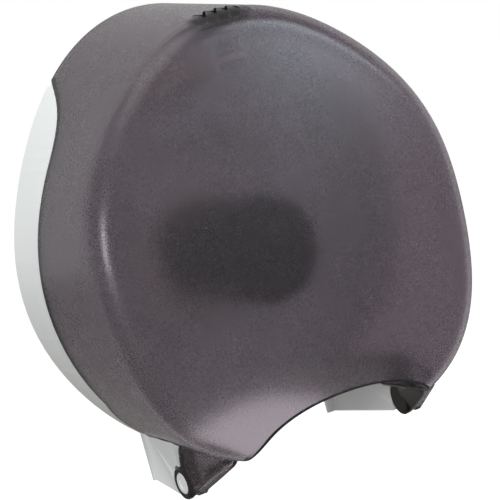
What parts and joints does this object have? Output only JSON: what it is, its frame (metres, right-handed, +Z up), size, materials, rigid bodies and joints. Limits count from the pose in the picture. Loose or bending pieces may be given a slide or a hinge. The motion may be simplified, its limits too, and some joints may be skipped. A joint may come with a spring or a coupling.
{
  "type": "jumbo toilet roll dispenser",
  "caption": "Wall dispenser for a jumbo toilet roll: pale wall housing, hinged smoke cover with a paper arch, turning roll hub on a fixed axle and a key latch.",
  "frame": {"origin": "centre of the four wall screw holes, on the wall plane", "axes": "+Z up, -Y away from the wall towards the room, +X to the right of someone facing the front"},
  "size_m": [0.267, 0.1467, 0.3087],
  "materials": {
    "pale_plastic": "fine satin texture",
    "smoke_plastic": "smoke tinted, satin outside",
    "black_plastic": "moulded",
    "natural_plastic": "natural acetal",
    "zinc_steel": "zinc plated"
  },
  "bodies": {
    "housing": {"rear_housing": "pale_plastic", "hinge_pin_left": "pale_plastic", "hinge_pin_right": "pale_plastic", "spindle_flange": "natural_plastic", "spindle_screws": "zinc_steel", "hub_axle": "natural_plastic", "thrust_washer": "black_plastic", "axle_washer": "zinc_steel", "axle_clip": "zinc_steel", "latch_bracket": "natural_plastic", "bracket_screws": "zinc_steel", "latch_spring": "zinc_steel"},
    "hub": {"hub_drum": "black_plastic", "hub_bush_rear": "natural_plastic", "hub_bush_front": "natural_plastic", "hub_cap": "black_plastic"},
    "latch": {"latch_bar": "pale_plastic"},
    "cover": {"front_cover": "smoke_plastic", "tear_strip_left": "black_plastic", "tear_strip_right": "black_plastic", "key_guide": "black_plastic", "cover_catch": "zinc_steel", "catch_screws": "zinc_steel"}
  },
  "joints": [
    {"name": "cover_hinge", "type": "hinge", "parent": "housing", "child": "cover", "pos_m": [0, -0.075, -0.143], "axis": [1, 0, 0], "range_deg": [0, 100]},
    {"name": "hub_spin", "type": "hinge", "parent": "housing", "child": "hub", "pos_m": [0, -0.055, -0.014], "axis": [0, -1, 0], "continuous": true},
    {"name": "latch_press", "type": "slide", "parent": "housing", "child": "latch", "axis": [0, 0, -1], "range_m": [0, 0.004], "stiffness_N_per_m": 900, "deforming": ["latch_spring"]}
  ]
}
